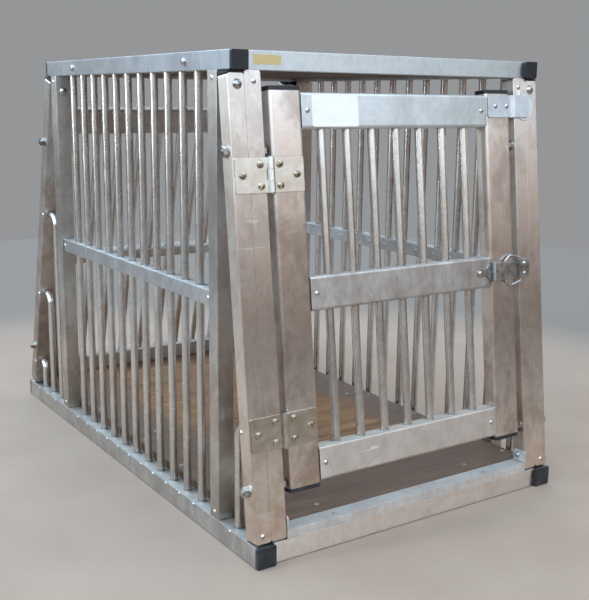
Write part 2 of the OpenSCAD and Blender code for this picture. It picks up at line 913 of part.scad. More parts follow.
module door_stile(hinged) {
  color("silver") front_plane() difference() {
    translate([-door_x, 0, door_s0]) linear_extrude(door_s1 - door_s0)
      soft_section(stile_w, door_depth);
    if (hinged)
      for (s = hinge_s, p = leaf_screws)
        facing_front(pin_x + p[0], 0, s + p[1]) screw_cut(screw_r);
    else {
      for (x = stop_rivet)
        facing_front(-x, 0, stop_s) rivet_cut();
    }
  }
}

module door_stile_left() { door_stile(true); }
module door_stile_right() { right_hand() door_stile(false); }

door_bar_low = door_rail_s[0] + rail_h / 2;
door_bar_high = door_rail_s[2] - rail_h / 2;

module door_rail(s, rivets) {
  low = s - rail_h / 2;
  high = s + rail_h / 2;
  color("silver") front_plane() difference() {
    soft_rail(rail_x, rail_h, door_depth, low);
    for (x = door_bar_x)
      translate([x, door_depth / 2, 0]) bar_cut(max(low - eps, door_bar_low - wall - eps),
                                                min(high + eps, door_bar_high + wall + eps));
    for (x = rivets)
      facing_front(x, 0, s) rivet_cut();
  }
}

module door_rail_top() { door_rail(door_rail_s[2], [-door_rivet_x, door_rivet_x]); }
module door_rail_middle() {
  door_rail(door_rail_s[1], [-door_rivet_x, latch_x - base_rivet]);
}
module door_rail_bottom() { door_rail(door_rail_s[0], [-door_rivet_x, door_rivet_x]); }

module door_bars() {
  color("gainsboro") front_plane()
    for (x = door_bar_x)
      translate([x, door_depth / 2, door_bar_low - bar_sink])
        bar(door_bar_high - door_bar_low + 2 * bar_sink);
}

module door_end_caps() {
  inset = wall + cap_fit;
  core = [stile_w - 2 * inset, door_depth - 2 * inset, spigot - eps];
  color("black") front_plane() both_sides() translate([-door_x, 0, 0]) {
    translate([0, 0, door_s1]) linear_extrude(cap_t) rounded(stile_w, door_depth, corner_r);
    translate([inset, inset, door_s1 - core[2]]) linear_extrude(core[2])
      rounded(core[0], core[1], corner_r - wall);
    translate([0, 0, door_s0 - cap_t]) linear_extrude(cap_t)
      rounded(stile_w, door_depth, corner_r);
    translate([inset, inset, door_s0]) linear_extrude(core[2])
      rounded(core[0], core[1], corner_r - wall);
  }
}

module door_rivets() {
  color("gainsboro") front_plane() {
    for (s = [door_rail_s[0], door_rail_s[2]], x = [-door_rivet_x, door_rivet_x])
      facing_front(x, 0, s) rivet();
    facing_front(-door_rivet_x, 0, door_rail_s[1]) rivet();
    facing_front(latch_x - base_rivet, -base_t, latch_s) rivet();
    for (x = stop_rivet)
      facing_front(x, -stop_t, stop_s) rivet();
  }
}

// Joggled plate that laps the post and keeps the door from swinging inwards
module stop_plate() {
  bend = door_x + 2;
  wide = stop_x[1] - stop_x[0];
  profile = [[stop_x[0], 0], [bend, 0], [bend + 9, -stop_lift], [stop_x[1], -stop_lift],
             [stop_x[1], -stop_lift - stop_t], [bend + 8, -stop_lift - stop_t],
             [bend - 1, -stop_t], [stop_x[0], -stop_t]];
  color("silver") front_plane() difference() {
    intersection() {
      translate([0, 0, stop_s - stop_h / 2]) linear_extrude(stop_h) polygon(profile);
      translate([stop_x[0], 0, stop_s - stop_h / 2])
        plate(wide, stop_h, corner_r, -2 * stop_lift - stop_t, 3 * stop_lift + stop_t);
    }
    for (x = stop_rivet)
      facing_front(x, -stop_t, stop_s) hole(rivet_hole + slip_gap, stop_t + eps);
  }
}

module buffer_pad() {
  color("lightgray") front_plane() facing_front(post_in + pad_r + 0.5, 0, stop_s - 1)
    cylinder(h = pad_t, r = pad_r);
}

// ---- Latch ----

// Place of the latch: X from the lever pin, Y = 0 on the face of the door
module at_latch() {
  front_plane() translate([latch_x, 0, latch_s]) children();
}

module latch_base() {
  half = base_h / 2;
  outline = [[-base_rivet, base_tab_r], [-base_neck, base_tab_r], [-base_flare, half],
             [base_end, half], [base_end, -half], [-base_flare, -half],
             [-base_neck, -base_tab_r], [-base_rivet, -base_tab_r]];
  color("silver") at_latch() difference() {
    union() {
      rotate([90, 0, 0]) linear_extrude(base_t) {
        translate([-base_rivet, 0]) circle(base_tab_r);
        polygon(outline);
      }
      translate([0, latch_y, -lug_h / 2]) cylinder(h = lug_h, r = barrel_r);
      translate([-barrel_r, latch_y, -lug_h / 2]) cube([2 * barrel_r, -latch_y - 0.5, lug_h]);
    }
    translate([0, latch_y, -base_h]) cylinder(h = 2 * base_h, r = latch_pin_r + run_gap);
    facing_front(-base_rivet, -base_t, 0) hole(rivet_hole + slip_gap, base_t + eps);
  }
}

module latch_lever() {
  top = latch_y - barrel_r;
  slot = lug_h / 2 + part_gap;
  color("silver") at_latch() difference() {
    union() {
      for (z = [slot, -lever_h / 2])
        translate([0, latch_y, z]) cylinder(h = lever_h / 2 - slot, r = barrel_r);
      translate([0, 0, -lever_h / 2]) difference() {
        translate([-3, 0, 0]) plate(lever_len + 3, lever_h, 3, top, lever_t);
        translate([-3 - eps, top - eps, -eps]) cube([3 + eps, lever_t + 2 * eps,
                                                     lever_h + 2 * eps]);
      }
      for (z = [-lever_h / 2 + 0.5, lever_h / 2 - lever_t - 0.5])
        translate([flange_x[0], top, z])
          cube([flange_x[1] - flange_x[0], flange_low - top, lever_t]);
    }
    translate([-barrel_r - eps, top - eps, -slot])
      cube([2 * barrel_r + 2 * eps, 3 * barrel_r, 2 * slot]);
    translate([0, latch_y, -lever_h]) cylinder(h = 2 * lever_h, r = latch_pin_r + run_gap);
    translate([bail_x, bail_y, -lever_h]) cylinder(h = 2 * lever_h, r = wire_r + run_gap);
    for (z = [-10.4, 10.4])
      translate([flange_x[1] - 4, top - eps, z - 0.9]) cube([6, lever_t + 2 * eps, 1.8]);
  }
}

// Straight run of wire between two points of the bail
module wire(p, q) {
  run = q - p;
  translate([p[0], 0, p[1]]) rotate([0, atan2(run[0], run[1]), 0])
    cylinder(h = norm(run), r = wire_r);
}

module latch_bail() {
  last = len(bail_path) - 1;
  color("silver") at_latch() translate([bail_x, bail_y, 0]) {
    for (side = [0, 1], i = [1 : last])
      mirror([0, 0, side]) {
        wire(bail_path[i - 1], bail_path[i]);
        translate([bail_path[i][0], 0, bail_path[i][1]]) sphere(wire_r + bend_swell);
      }
    wire(bail_path[last], [bail_path[last][0], -bail_path[last][1]]);
  }
}

module latch_catch() {
  color("silver") front_plane() translate([lip_x, 0, latch_s]) difference() {
    translate([0, 0, -catch_h / 2]) {
      difference() {
        translate([-4, 0, 0]) plate(catch_w + 4, catch_h, 3, -lip_t, lip_t);
        translate([-4 - eps, -lip_t - eps, -eps]) cube([4 + eps, lip_t + 2 * eps,
                                                        catch_h + 2 * eps]);
      }
      translate([0, -lip_h, 0]) cube([lip_t, lip_h, catch_h]);
    }
    for (s = [-1, 1])
      facing_front(catch_screw[0], -lip_t, s * catch_screw[1])
        hole(screw_r + slip_gap, lip_t + eps);
  }
}

base_rail_left();
base_rail_right();
base_rail_front();
base_rail_rear();
floor_bearers();
base_end_caps();
top_rail_left();
top_rail_right();
top_rail_front();
top_rail_rear();
top_end_caps();
upright_front_left();
upright_front_right();
upright_rear_left();
upright_rear_right();
side_post_front_left();
side_post_front_right();
side_post_rear_left();
side_post_rear_right();
side_post_plugs();
door_post_left();
door_post_right();
rear_post_left();
rear_post_right();
mid_rail_left();
mid_rail_right();
side_bars_left();
side_bars_right();
rear_rail_top();
rear_rail_middle();
rear_rail_bottom();
rear_bars();
floor_board_front();
floor_board_rear();
roof_board();
sill_strip();
floor_screws();
frame_screws();
frame_rivets();
post_bolts();
post_nuts();
hinge_frame_leaves();
hinge_frame_screws();
latch_catch();
buffer_pad();
door_stile_left();
door_stile_right();
door_rail_top();
door_rail_middle();
door_rail_bottom();
door_bars();
door_end_caps();
door_rivets();
hinge_door_leaves();
hinge_door_screws();
pivot_pins();
latch_base();
stop_plate();
latch_lever();
latch_bail();
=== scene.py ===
import math

import bmesh
import bpy
from mathutils import Matrix, Vector


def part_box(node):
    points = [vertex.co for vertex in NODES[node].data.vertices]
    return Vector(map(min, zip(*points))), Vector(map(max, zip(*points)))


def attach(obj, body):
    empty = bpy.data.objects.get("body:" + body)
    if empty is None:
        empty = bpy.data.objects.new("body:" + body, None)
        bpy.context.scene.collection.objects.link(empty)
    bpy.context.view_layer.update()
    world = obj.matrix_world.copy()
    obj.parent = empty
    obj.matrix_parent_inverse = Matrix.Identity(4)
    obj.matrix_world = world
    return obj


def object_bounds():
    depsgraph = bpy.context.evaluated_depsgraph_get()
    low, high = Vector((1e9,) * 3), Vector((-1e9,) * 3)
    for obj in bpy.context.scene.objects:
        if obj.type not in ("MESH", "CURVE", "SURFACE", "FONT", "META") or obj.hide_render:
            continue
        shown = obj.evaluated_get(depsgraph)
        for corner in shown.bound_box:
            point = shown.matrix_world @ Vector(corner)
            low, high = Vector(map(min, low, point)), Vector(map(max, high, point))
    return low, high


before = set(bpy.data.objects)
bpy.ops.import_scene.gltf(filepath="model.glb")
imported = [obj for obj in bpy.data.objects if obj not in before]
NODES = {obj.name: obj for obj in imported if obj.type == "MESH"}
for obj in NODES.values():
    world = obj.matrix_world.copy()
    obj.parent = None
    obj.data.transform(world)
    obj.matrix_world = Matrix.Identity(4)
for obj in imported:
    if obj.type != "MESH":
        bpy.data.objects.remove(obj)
cad_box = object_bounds()
HEIGHT = cad_box[1][2]

WHITE = (1.0, 1.0, 1.0)
AO_SAMPLES = 4
BEVEL_SAMPLES = 4
ACROSS_DRAWING = 0.25  # a quarter turn: highlights stretch across the drawing direction


def lean_of(node):
    """Lean of a sloping tube towards the roof, in radians, from its box and the tube's depth."""
    low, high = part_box(node)
    upright_low, upright_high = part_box("upright_front_left")
    tube = upright_high.y - upright_low.y
    run, rise = high.y - low.y, high.z - low.z
    angle = 0.0
    for _ in range(20):
        angle = math.atan((run - tube * math.cos(angle)) / rise)
    return angle


FRONT = lean_of("door_post_left")
REAR = -lean_of("rear_post_left")

# ---------------------------------------------------------------- node helpers


class Shader:
    """Adds and links the nodes of one material."""

    def __init__(self, name):
        self.mat = bpy.data.materials.new(name)
        self.mat.use_nodes = True
        self.tree = self.mat.node_tree
        self.bsdf = next(n for n in self.tree.nodes if n.type == "BSDF_PRINCIPLED")
        self.place = self.add("ShaderNodeTexCoord").outputs["Object"]

    def add(self, kind, **values):
        node = self.tree.nodes.new(kind)
        for key, value in values.items():
            setattr(node, key, value)
        return node

    def link(self, source, target):
        self.tree.links.new(source, target)

    def set(self, node, name, value):
        """Link an output to a socket, or set the socket to a number."""
        if hasattr(value, "is_output"):
            self.link(value, node.inputs[name])
        else:
            node.inputs[name].default_value = value

    def mapping(self, scale, turn=(0, 0, 0), shift=(0, 0, 0)):
        node = self.add("ShaderNodeMapping")
        node.inputs["Scale"].default_value = scale
        node.inputs["Rotation"].default_value = turn
        node.inputs["Location"].default_value = shift
        self.link(self.place, node.inputs["Vector"])
        return node.outputs["Vector"]

    def noise(self, vector, detail, rough, distort=0.0):
        node = self.add("ShaderNodeTexNoise")
        self.link(vector, node.inputs["Vector"])
        node.inputs["Scale"].default_value = 1.0
        node.inputs["Detail"].default_value = detail
        node.inputs["Roughness"].default_value = rough
        node.inputs["Distortion"].default_value = distort
        return node.outputs["Fac"]

    def ramp(self, fac, stops):
        """A colour ramp; a stop is (position, colour) or (position, grey level)."""
        node = self.add("ShaderNodeValToRGB")
        elements = node.color_ramp.elements
        while len(elements) < len(stops):
            elements.new(0.5)
        for element, (at, colour) in zip(elements, stops):
            if not isinstance(colour, (tuple, list)):
                colour = (colour, colour, colour)
            element.position = at
            element.color = (*colour, 1.0)
        self.link(fac, node.inputs["Fac"])
        return node.outputs["Color"]

    def mask(self, fac, low, high):
        """0 below low, 1 above high, and a slope between them."""
        return self.ramp(fac, [(low, 0.0), (high, 1.0)])

    def mix(self, fac, a, b, kind="MIX"):
        node = self.add("ShaderNodeMix", data_type="RGBA", blend_type=kind)
        self.set(node, 0, fac)
        for index, value in ((6, a), (7, b)):
            if hasattr(value, "is_output"):
                self.link(value, node.inputs[index])
            else:
                node.inputs[index].default_value = (*value, 1.0)
        return node.outputs[2]

    def math(self, kind, a, b=0.0):
        node = self.add("ShaderNodeMath", operation=kind)
        self.set(node, 0, a)
        self.set(node, 1, b)
        return node.outputs[0]

    def times(self, a, b):
        return self.math("MULTIPLY", a, b)

    def plus(self, a, b):
        return self.math("ADD", a, b)

    def split(self, vector):
        node = self.add("ShaderNodeSeparateXYZ")
        self.link(vector, node.inputs[0])
        return node.outputs

    def level(self):
        """Height over the ground, from 0 to 1 at the roof."""
        return self.math("DIVIDE", self.split(self.place)[2], HEIGHT)

    def scratches(self, turn, scale, low, high):
        """Thin straight scratches in patches: 1 on a scratch, 0 elsewhere."""
        fine = self.noise(self.mapping(scale, turn), 2.0, 0.4)
        patch = self.noise(self.mapping((7, 7, 7), (0.4, 0.2, 0.9)), 2.0, 0.5)
        return self.times(self.mask(fine, low, high), self.mask(patch, 0.45, 0.62))

    def bump(self, height, strength, distance, round_edges=0.0):
        node = self.add("ShaderNodeBump")
        node.inputs["Strength"].default_value = strength
        node.inputs["Distance"].default_value = distance
        self.link(height, node.inputs["Height"])
        if round_edges:
            edge = self.add("ShaderNodeBevel", samples=BEVEL_SAMPLES)
            edge.inputs["Radius"].default_value = round_edges
            self.link(edge.outputs[0], node.inputs["Normal"])
        self.link(node.outputs[0], self.bsdf.inputs["Normal"])

    def drawn(self, along, amount):
        """Stretch highlights across the drawing direction, given in the object's own axes."""
        axis = self.add("ShaderNodeCombineXYZ")
        for name, value in zip("XYZ", along):
            axis.inputs[name].default_value = value
        turn = self.add("ShaderNodeVectorTransform", vector_type="VECTOR",
                        convert_from="OBJECT", convert_to="WORLD")
        self.link(axis.outputs[0], turn.inputs[0])
        self.link(turn.outputs[0], self.bsdf.inputs["Tangent"])
        self.bsdf.inputs["Anisotropic"].default_value = amount
        self.bsdf.inputs["Anisotropic Rotation"].default_value = ACROSS_DRAWING

    def shine(self, metallic, rough, specular=0.5):
        self.bsdf.inputs["Metallic"].default_value = metallic
        self.set(self.bsdf, "Roughness", rough)
        self.bsdf.inputs["Specular IOR Level"].default_value = specular


# ---------------------------------------------------------------- kinds of material

TARNISH = (0.47, 0.385, 0.325)
RUBBED = (0.95, 0.94, 0.93)
MOTTLED = (0.60, 0.56, 0.52)
DRAWING_LINE = (0.45, 0.43, 0.41)
BARE_NICK = (0.96, 0.95, 0.94)
SETTLED_DUST = (0.34, 0.31, 0.28)
# Painted shade: the colour that ambient occlusion puts in crevices, and how far it reaches
PAINTED_CREVICE_SHADE = (0.22, 0.19, 0.17)
CREVICE_DEPTH = 0.007


def aluminium(name, along, low, stain, seed, lean=0.0, high=(0.86, 0.88, 0.90), rough=0.38,
              edge=0.0006, drawn=0.8, relief=0.22, patchy=0.26):
    """Drawn aluminium: drawing lines along the tube, cloudy oxide, scratches, smears and dust.

    low and high are its colours at the ground and at the roof: a painted reflection, warm brown
    low down and cool and bright high up, not the metal's own tone. Crevices get painted shade."""
    s = Shader(name)
    turn = (lean, 0, 0)
    shift = (seed, seed * 1.7, seed * 2.3)
    stretch = {"x": (3, 420, 420), "y": (420, 3, 420), "z": (420, 420, 3)}[along]
    axis = {"x": (1, 0, 0), "y": (0, 1, 0), "z": (0, math.sin(lean), math.cos(lean))}[along]

    lines = s.noise(s.mapping(stretch, turn, shift), 4.0, 0.65)
    cloud = s.noise(s.mapping((17, 17, 12), turn, shift), 6.0, 0.68, 0.25)
    smear = s.noise(s.mapping((34, 34, 22), (0.5, 0.3, 0.2), shift), 5.0, 0.6, 0.9)
    speck = s.noise(s.mapping((260, 260, 260), turn, shift), 3.0, 0.7)
    mottle = s.noise(s.mapping((120, 120, 90), turn, shift), 4.0, 0.7)
    nicks = s.math("MAXIMUM",
                   s.scratches((0.3, 0.9, 0.5), (16, 520, 16), 0.70, 0.735),
                   s.scratches((1.1, -0.6, 0.2), (14, 14, 480), 0.715, 0.75))
    facing_up = s.split(s.add("ShaderNodeNewGeometry").outputs["Normal"])[2]
    dust = s.times(s.mask(facing_up, 0.6, 0.9), 0.6)

    # Painted reflection: the colour fades from low at the ground to high at the roof
    middle = [(a + b) / 2 for a, b in zip(low, high)]
    body = s.ramp(s.level(), [(0.0, low), (0.45, middle), (0.97, high)])
    body = s.mix(s.times(s.mask(cloud, 0.44, 0.59), stain), body, TARNISH, "MULTIPLY")
    body = s.mix(s.times(s.mask(smear, 0.50, 0.70), 0.25), body, RUBBED)
    body = s.mix(s.times(s.mask(mottle, 0.45, 0.75), 0.30), body, MOTTLED, "MULTIPLY")
    body = s.mix(s.times(lines, 0.16), body, DRAWING_LINE)
    body = s.mix(s.times(nicks, 0.65), body, BARE_NICK)
    body = s.mix(dust, body, SETTLED_DUST)
    # Painted shade: ambient occlusion darkens the colour in crevices and between touching parts
    gap = s.add("ShaderNodeAmbientOcclusion", samples=AO_SAMPLES)
    gap.inputs["Distance"].default_value = CREVICE_DEPTH
    dirt_and_painted_shade = s.ramp(gap.outputs["AO"], [(0.35, PAINTED_CREVICE_SHADE), (0.75, WHITE)])
    s.link(s.mix(1.0, body, dirt_and_painted_shade, "MULTIPLY"), s.bsdf.inputs["Base Color"])

    gloss = s.plus(s.times(cloud, patchy), rough - patchy / 2)
    gloss = s.plus(gloss, s.times(lines, 0.10))
    gloss = s.plus(gloss, s.times(smear, 0.08))
    gloss = s.plus(gloss, s.times(dust, 0.25))
    s.shine(1.0, gloss)
    s.drawn(axis, drawn)

    height = s.plus(s.times(lines, 0.55), s.times(speck, 0.25))
    height = s.math("SUBTRACT", height, s.times(nicks, 0.7))
    s.bump(height, relief, 0.00025, edge)
    return s.mat


ZINC_NICK = (0.9, 0.88, 0.84)
ZINC_EDGE = 0.0004


def zinc(name, colour, patch_colour, rough, grain=190, painted_low_shade=WHITE):
    """Zinc plate: small mottled crystals, dull patches and rubbed edges.

    The last argument darkens it towards the ground: painted shade, which falls on the lower
    hinge."""
    s = Shader(name)
    cell = s.add("ShaderNodeTexVoronoi")
    s.link(s.mapping((grain, grain, grain), (0.3, 0.5, 0.1)), cell.inputs["Vector"])
    cell.inputs["Scale"].default_value = 1.0
    patch = s.noise(s.mapping((60, 60, 60)), 5.0, 0.65, 0.5)
    fine = s.noise(s.mapping((700, 700, 700)), 3.0, 0.6)
    nicks = s.scratches((0.2, 0.7, 0.4), (30, 700, 30), 0.68, 0.72)

    tint = s.ramp(patch, [(0.35, colour), (0.68, patch_colour)])
    tint = s.mix(0.12, tint, s.split(cell.outputs["Color"])[0], "SOFT_LIGHT")
    tint = s.mix(s.times(nicks, 0.5), tint, ZINC_NICK)
    # Painted shade: the colour darkens towards the ground
    painted_height_shade = s.ramp(s.level(), [(0.35, painted_low_shade), (0.68, WHITE)])
    s.link(s.mix(1.0, tint, painted_height_shade, "MULTIPLY"), s.bsdf.inputs["Base Color"])
    s.shine(1.0, s.plus(s.times(patch, 0.30), rough - 0.12))
    s.bump(s.plus(s.times(fine, 0.5), patch), 0.07, 0.0002, ZINC_EDGE)
    return s.mat


PLASTIC_DUST = (0.10, 0.095, 0.09)
PLASTIC_RUB = (0.22, 0.21, 0.20)


def plastic(name, colour, rough):
    """Moulded plastic with a fine texture, dust and pale rub marks."""
    s = Shader(name)
    fine = s.noise(s.mapping((900, 900, 900)), 2.0, 0.6)
    dirt_and_painted_shade = s.noise(s.mapping((45, 45, 45)), 5.0, 0.65, 0.4)
    rub = s.scratches((0.6, 0.4, 0.9), (40, 620, 40), 0.66, 0.70)
    tint = s.mix(s.times(s.mask(dirt_and_painted_shade, 0.5, 0.8), 0.5), colour, PLASTIC_DUST)
    s.link(s.mix(s.times(rub, 0.4), tint, PLASTIC_RUB), s.bsdf.inputs["Base Color"])
    s.shine(0.0, s.plus(s.times(dirt_and_painted_shade, 0.3), rough - 0.1))
    s.bump(s.plus(s.times(fine, 0.6), s.times(dirt_and_painted_shade, 0.3)), 0.25, 0.0003, 0.0008)
    return s.mat


FILM_COLOURS = [(0.25, (0.045, 0.026, 0.016)), (0.55, (0.12, 0.068, 0.042)),
                (0.8, (0.19, 0.115, 0.075))]
BARE_COLOURS = [(0.25, (0.13, 0.058, 0.025)), (0.55, (0.29, 0.145, 0.066)),
                (0.8, (0.44, 0.25, 0.125))]
BARE_GRAIN = (0.17, 0.09, 0.05)
SCUFF_MARK = (0.055, 0.034, 0.022)
DUST_HAZE = (0.32, 0.245, 0.19)
WEAR_RAGGED = 2.6  # how far the blotches push the edge of the worn area


def plywood(name, worn_box, worn_amount):
    """Film-faced plywood: a dark film over fine grain, rubbed through where it is walked on.

    worn_box is the worn area's X range, Y range and soft border, in metres."""
    s = Shader(name)
    grain = s.noise(s.mapping((10, 330, 330)), 5.0, 0.7, 0.25)
    streak = s.noise(s.mapping((3, 60, 60)), 4.0, 0.6, 0.5)
    blotch = s.noise(s.mapping((6, 6, 6)), 6.0, 0.62, 0.7)
    scuff = s.noise(s.mapping((16, 42, 30), (0, 0, 0.25)), 6.0, 0.75, 1.2)
    film_tint = s.ramp(grain, FILM_COLOURS)
    bare = s.mix(s.times(grain, 0.5), s.ramp(streak, BARE_COLOURS), BARE_GRAIN)

    *ranges, soft = worn_box
    axes = s.split(s.place)
    depths = []
    for axis, (low, high) in zip(axes, ranges):
        off_middle = s.math("ABSOLUTE", s.math("SUBTRACT", axis, (low + high) / 2))
        depths.append(s.math("SUBTRACT", (high - low) / 2, off_middle))
    inside = s.math("DIVIDE", s.math("MINIMUM", *depths), soft)
    wear = s.plus(inside, s.times(s.math("SUBTRACT", blotch, 0.5), WEAR_RAGGED))
    wear = s.times(s.mask(wear, 0.25, 0.75), worn_amount)
    marks = s.mask(scuff, 0.56, 0.66)
    haze = s.mask(blotch, 0.5, 0.75)

    tint = s.mix(wear, film_tint, bare)
    tint = s.mix(s.times(marks, s.times(wear, 0.75)), tint, SCUFF_MARK)
    s.link(s.mix(s.times(haze, 0.18), tint, DUST_HAZE), s.bsdf.inputs["Base Color"])
    gloss = s.plus(s.times(wear, 0.25), s.plus(0.45, s.times(haze, 0.12)))
    s.shine(0.0, gloss, 0.14)
    s.bump(s.plus(s.times(grain, 0.6), s.times(marks, -0.5)), 0.35, 0.0004, 0.0006)
    return s.mat


YELLOWING = (0.93, 0.91, 0.86)


def label(name, colour, metallic, rough):
    """Blank film label, a little yellowed and creased."""
    s = Shader(name)
    age = s.noise(s.mapping((30, 30, 30)), 5.0, 0.6, 0.4)
    fine = s.noise(s.mapping((500, 500, 500)), 2.0, 0.6)
    aged = [c * k for c, k in zip(colour, YELLOWING)]
    s.link(s.ramp(age, [(0.35, colour), (0.75, aged)]), s.bsdf.inputs["Base Color"])
    s.shine(metallic, s.plus(s.times(age, 0.15), rough))
    s.bump(s.plus(age, s.times(fine, 0.2)), 0.2, 0.0002)
    return s.mat


# ---------------------------------------------------------------- materials of the CAD nodes

# Polished round bars: almost no relief, drawing marks or dull patches
POLISHED = {"edge": 0.0003, "drawn": 0.2, "relief": 0.02, "patchy": 0.04}

# The low and high colours below are painted reflection and shade: each group is made lighter or
# darker to match how it is lit, so the groups are lit and shaded copies of one aluminium.
tube_x = aluminium("aluminium_cross_tube", "x", low=(0.78, 0.67, 0.58), high=(0.92, 0.98, 1.0),
                   stain=0.14, seed=1.0, drawn=0.9)
tube_y = aluminium("aluminium_long_tube", "y", low=(0.52, 0.465, 0.42), high=(0.76, 0.78, 0.80),
                   stain=0.4, seed=2.0, rough=0.34)
tube_z = aluminium("aluminium_upright", "z", low=(0.62, 0.57, 0.52), high=(0.88, 0.90, 0.92),
                   stain=0.45, seed=3.0, rough=0.28)
post_front = aluminium("aluminium_front_post", "z", lean=FRONT, low=(0.88, 0.73, 0.62),
                       high=(1.0, 0.975, 0.95), stain=0.45, seed=4.0, rough=0.29)
post_rear = aluminium("aluminium_rear_post", "z", lean=REAR, low=(0.58, 0.50, 0.44),
                      stain=0.6, seed=5.0)
stile = aluminium("aluminium_door_stile", "z", lean=FRONT, low=(0.82, 0.66, 0.555),
                  high=(1.0, 0.96, 0.925), stain=0.62, seed=6.0, rough=0.28)
door_rail = aluminium("aluminium_door_rail", "x", low=(0.66, 0.56, 0.48),
                      high=(0.90, 0.97, 1.0), stain=0.25, seed=7.0, rough=0.31, drawn=0.9)
round_bar = aluminium("aluminium_side_bar", "z", low=(0.62, 0.585, 0.55), high=WHITE,
                      stain=0.3, seed=8.0, rough=0.185, **POLISHED)
door_bar = aluminium("aluminium_door_bar", "z", lean=FRONT, low=(0.68, 0.62, 0.57),
                     high=(1.0, 0.99, 0.975), stain=0.3, seed=9.0, rough=0.185, **POLISHED)
rear_bar = aluminium("aluminium_rear_bar", "z", lean=REAR, low=(0.66, 0.63, 0.60),
                     stain=0.3, seed=10.0, rough=0.24, **POLISHED)
sheet = aluminium("aluminium_sheet", "x", low=(0.84, 0.82, 0.80), high=(0.80, 0.84, 0.89),
                  stain=0.35, seed=11.0, rough=0.44, edge=0.0003, drawn=0.2)
rivet = aluminium("aluminium_rivet", "x", low=(0.60, 0.57, 0.54), high=(0.66, 0.66, 0.66),
                  stain=0.4, seed=12.0, rough=0.24, edge=0.0002, drawn=0.0, relief=0.05)
middle_rail = aluminium("aluminium_middle_rail", "x", low=(0.66, 0.60, 0.55),
                        high=(0.64, 0.64, 0.64), stain=0.65, seed=13.0, rough=0.26, drawn=0.85)
rear_rail = aluminium("aluminium_rear_rail", "x", low=(0.70, 0.65, 0.61),
                      high=(0.76, 0.77, 0.78), stain=0.4, seed=14.0, rough=0.34)

hinge = zinc("zinc_hinge", (0.82, 0.785, 0.70), (0.93, 0.91, 0.86), 0.30,
             painted_low_shade=(0.62, 0.56, 0.50))
screw = zinc("passivated_screw", (0.40, 0.34, 0.25), (0.58, 0.52, 0.40), 0.24, 300)
latch = zinc("galvanised_latch", (0.42, 0.425, 0.43), (0.62, 0.63, 0.64), 0.28, 240)
bolt = zinc("zinc_bolt", (0.36, 0.345, 0.32), (0.54, 0.53, 0.50), 0.24, 300)
pan = zinc("zinc_pan_head", (0.36, 0.35, 0.335), (0.52, 0.515, 0.50), 0.22, 300)
floor_screw = zinc("dull_floor_screw", (0.30, 0.28, 0.26), (0.45, 0.43, 0.40), 0.42, 300)
black = plastic("black_plastic", (0.012, 0.012, 0.013), 0.42)
pad = plastic("pale_buffer", (0.60, 0.585, 0.56), 0.55)
floor_wood = plywood("floor_plywood", ((-0.20, 0.215), (-0.24, 0.44), 0.09), 1.0)
roof_wood = plywood("roof_plywood", ((-0.2, 0.2), (-0.3, 0.2), 0.09), 0.0)

# Each material with the nodes it goes on; a name ending in * stands for all that begin so
LOOKS = (
    (tube_x, "base_rail_front floor_bearers top_rail_front"),
    (tube_y, "base_rail_left base_rail_right top_rail_left top_rail_right mid_rail_*"),
    (tube_z, "upright_*"),
    (rear_rail, "base_rail_rear top_rail_rear rear_rail_*"),
    (post_front, "side_post_front_* door_post_*"),
    (post_rear, "side_post_rear_* rear_post_*"),
    (stile, "door_stile_*"),
    (middle_rail, "door_rail_middle"),
    (door_rail, "door_rail_top door_rail_bottom"),
    (round_bar, "side_bars_*"),
    (door_bar, "door_bars"),
    (rear_bar, "rear_bars"),
    (sheet, "sill_strip stop_plate"),
    (rivet, "frame_rivets door_rivets"),
    (hinge, "hinge_frame_leaves hinge_door_leaves"),
    (screw, "hinge_frame_screws hinge_door_screws"),
    (latch, "pivot_pins latch_catch latch_base latch_lever latch_bail"),
    (bolt, "post_bolts post_nuts"),
    (pan, "frame_screws"),
    (floor_screw, "floor_screws"),
    (black, "base_end_caps top_end_caps side_post_plugs door_end_caps"),
    (pad, "buffer_pad"),
    (floor_wood, "floor_board_front floor_board_rear"),
    (roof_wood, "roof_board"),
)


def look_of(node):
    for material, names in LOOKS:
        for name in names.split():
            if node == name or name.endswith("*") and node.startswith(name[:-1]):
                return material
    raise KeyError(node)


for node, obj in NODES.items():
    obj.data.materials.clear()
    obj.data.materials.append(look_of(node))

# ---------------------------------------------------------------- labels

CORNER_STEPS = 8
FILM_LIFT = 0.00002  # gap that keeps a film's back off the metal


def film(name, size, corner, place, turn, material, body):
    """A thin rounded sheet lying on a face; X across, Z up, its back on the face."""
    wide, tall, thick = size
    mesh = bpy.data.meshes.new(name)
    bm = bmesh.new()
    rim = []
    corners = ((1, 1), (-1, 1), (-1, -1), (1, -1))
    for quarter, (right, up) in enumerate(corners):
        x, z = right * (wide / 2 - corner), up * (tall / 2 - corner)
        for i in range(CORNER_STEPS + 1):
            t = math.pi / 2 * (quarter + i / CORNER_STEPS)
            rim.append(bm.verts.new((x + corner * math.cos(t), 0, z + corner * math.sin(t))))
    face = bm.faces.new(rim)
    moved = bmesh.ops.extrude_face_region(bm, geom=[face])["geom"]
    bmesh.ops.translate(bm, vec=(0, -thick, 0),
                        verts=[v for v in moved if isinstance(v, bmesh.types.BMVert)])
    bmesh.ops.recalc_face_normals(bm, faces=bm.faces)
    edges = [e for e in bm.edges if all(v.co.y < -thick / 2 for v in e.verts)]
    bmesh.ops.bevel(bm, geom=edges, offset=thick * 0.4, segments=2, affect="EDGES")
    bm.to_mesh(mesh)
    bm.free()
    obj = bpy.data.objects.new(name, mesh)
    bpy.context.scene.collection.objects.link(obj)
    obj.data.materials.append(material)
    obj.matrix_world = Matrix.Translation(place) @ turn
    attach(obj, body)


